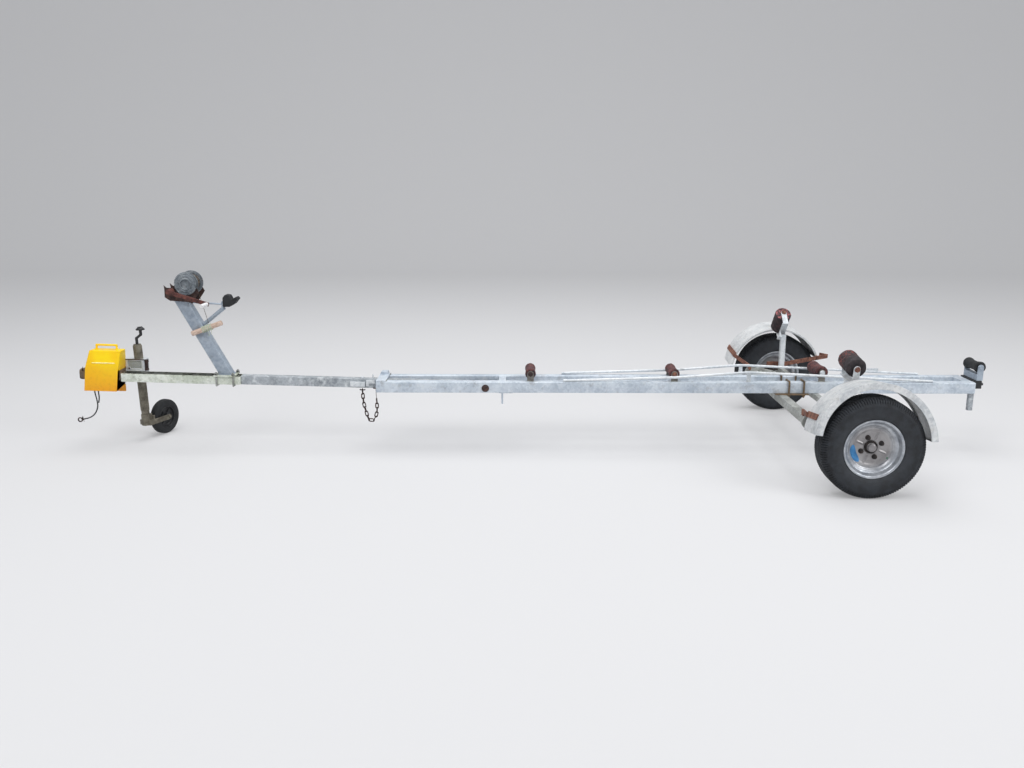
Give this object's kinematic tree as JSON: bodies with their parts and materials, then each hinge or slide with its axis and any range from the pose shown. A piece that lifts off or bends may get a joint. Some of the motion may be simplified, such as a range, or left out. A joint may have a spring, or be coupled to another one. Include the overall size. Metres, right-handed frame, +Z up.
{
  "type": "boat trailer",
  "caption": "Single-axle tilting boat trailer with hand winch, keel and bilge rollers, mudguards, lock box over the ball coupling and a jockey wheel.",
  "frame": {"origin": "on the floor under the middle of the trailer's plan, without the free cable", "axes": "+X towards the rear, +Y towards the trailer's right-hand side, +Z up; it stands on its road wheels and its jockey wheel"},
  "size_m": [4.9992, 1.8449, 0.9693],
  "materials": {
    "galvanised_steel": "dull zinc coating with rust at welds and edges",
    "white_zinc": "pale zinc coating",
    "yellow_paint": "yellow gloss paint, chipped at its edges",
    "cast_coupling": "rusted casting",
    "rusty_steel": "rust over worn zinc",
    "silver_rim": "silver paint, dusty",
    "tyre_rubber": "weathered black",
    "roller_rubber": "dark red-brown, mottled black",
    "black_rubber": "matt black",
    "black_plastic": "matt black",
    "weathered_wood": "grey-brown, bare",
    "rope": "washed-out twisted cord"
  },
  "bodies": {
    "drawbar": {"drawbar_tube": "galvanised_steel", "nose_channel": "galvanised_steel", "coupling_head": "cast_coupling", "lock_box": "yellow_paint", "jockey_clamp": "white_zinc", "jockey_outer_tube": "galvanised_steel", "jockey_crank": "black_plastic", "winch_post": "galvanised_steel", "winch_foot_plate": "galvanised_steel", "winch_foot_bolts": "rusty_steel", "winch_frame": "rusty_steel", "bow_stop_arms": "galvanised_steel", "bow_stop_rubber": "black_rubber", "wooden_bar": "weathered_wood", "bar_lashing": "rope", "tilt_latch": "galvanised_steel", "safety_chain": "galvanised_steel", "safety_cable": "black_plastic", "safety_cable_strand": "black_plastic", "cable_hook": "rusty_steel"},
    "jockey_tube": {"jockey_inner_tube": "galvanised_steel"},
    "jockey_fork": {"jockey_fork": "rusty_steel"},
    "jockey_wheel": {"jockey_tyre": "black_rubber", "jockey_rim": "black_plastic"},
    "winch_drum": {"winch_drum": "galvanised_steel"},
    "winch_crank": {"winch_crank": "galvanised_steel", "crank_grip": "black_plastic"},
    "main_frame": {"rail_left": "galvanised_steel", "rail_right": "galvanised_steel", "front_plate": "galvanised_steel", "cross_members": "galvanised_steel", "rear_leg": "galvanised_steel", "runners": "white_zinc", "pivot_bolt": "rusty_steel", "axle_beam": "galvanised_steel", "axle_clamps": "galvanised_steel", "axle_arms": "galvanised_steel", "bilge_tube": "galvanised_steel", "mudguard_left": "galvanised_steel", "mudguard_right": "galvanised_steel", "mudguard_stays": "rusty_steel", "bilge_posts": "galvanised_steel", "bilge_forks": "white_zinc", "keel_roller_bracket_front": "galvanised_steel", "keel_roller_brackets": "galvanised_steel", "rear_roller_bracket": "galvanised_steel", "rear_roller_bar": "black_plastic"},
    "wheel_left": {"tyre_left": "tyre_rubber", "rim_left": "silver_rim", "hub_left": "silver_rim"},
    "wheel_right": {"tyre_right": "tyre_rubber", "rim_right": "silver_rim", "hub_right": "silver_rim"},
    "keel_roller_front": {"keel_roller_front": "roller_rubber"},
    "keel_roller_middle": {"keel_roller_middle": "roller_rubber"},
    "keel_roller_rear": {"keel_roller_rear": "roller_rubber"},
    "rear_roller": {"rear_roller": "black_rubber"},
    "bilge_roller_left": {"bilge_roller_left": "roller_rubber"},
    "bilge_roller_right": {"bilge_roller_right": "roller_rubber"}
  },
  "joints": [
    {"name": "frame_tilt", "type": "hinge", "parent": "drawbar", "child": "main_frame", "pos_m": [-0.23089, 0, 0.345], "axis": [0, 1, 0], "range_deg": [0, 12]},
    {"name": "jockey_lift", "type": "slide", "parent": "drawbar", "child": "jockey_tube", "axis": [-0.0297, 0, 0.9996], "range_m": [-0.2, 0.015]},
    {"name": "jockey_swivel", "type": "hinge", "parent": "jockey_tube", "child": "jockey_fork", "pos_m": [-2.17448, 0.078, 0.15018], "axis": [-0.0297, 0, 0.9996], "continuous": true},
    {"name": "jockey_spin", "type": "hinge", "parent": "jockey_fork", "child": "jockey_wheel", "pos_m": [-2.12144, 0.21617, 0.1], "axis": [-0.9336, 0.3584, 0], "continuous": true},
    {"name": "winch_drum_spin", "type": "hinge", "parent": "drawbar", "child": "winch_drum", "pos_m": [-1.83977, 0, 0.9053], "axis": [0, 1, 0], "continuous": true},
    {"name": "winch_crank_spin", "type": "hinge", "parent": "drawbar", "child": "winch_crank", "pos_m": [-1.91987, 0, 0.86439], "axis": [0, 1, 0], "continuous": true},
    {"name": "wheel_left_spin", "type": "hinge", "parent": "main_frame", "child": "wheel_left", "pos_m": [1.59185, -0.8335, 0.243], "axis": [0, 1, 0], "continuous": true},
    {"name": "wheel_right_spin", "type": "hinge", "parent": "main_frame", "child": "wheel_right", "pos_m": [1.59185, 0.8335, 0.243], "axis": [0, 1, 0], "continuous": true},
    {"name": "keel_roller_front_spin", "type": "hinge", "parent": "main_frame", "child": "keel_roller_front", "pos_m": [0.01485, 0, 0.42], "axis": [0, 1, 0], "continuous": true},
    {"name": "keel_roller_middle_spin", "type": "hinge", "parent": "main_frame", "child": "keel_roller_middle", "pos_m": [0.79785, 0, 0.42], "axis": [0, 1, 0], "continuous": true},
    {"name": "keel_roller_rear_spin", "type": "hinge", "parent": "main_frame", "child": "keel_roller_rear", "pos_m": [1.59585, 0, 0.43], "axis": [0, 1, 0], "continuous": true},
    {"name": "rear_roller_spin", "type": "hinge", "parent": "main_frame", "child": "rear_roller", "pos_m": [2.45485, 0, 0.458], "axis": [0, 1, 0], "continuous": true},
    {"name": "bilge_roller_left_spin", "type": "hinge", "parent": "main_frame", "child": "bilge_roller_left", "pos_m": [1.56385, -0.5991, 0.58733], "axis": [0, 0.9848, 0.1736], "continuous": true},
    {"name": "bilge_roller_right_spin", "type": "hinge", "parent": "main_frame", "child": "bilge_roller_right", "pos_m": [1.56385, 0.65171, 0.59975], "axis": [0, 0.6691, -0.7431], "continuous": true}
  ],
  "couplings": [
    {"joint": "winch_crank_spin", "follows": "winch_drum_spin", "ratio": -3.8}
  ]
}
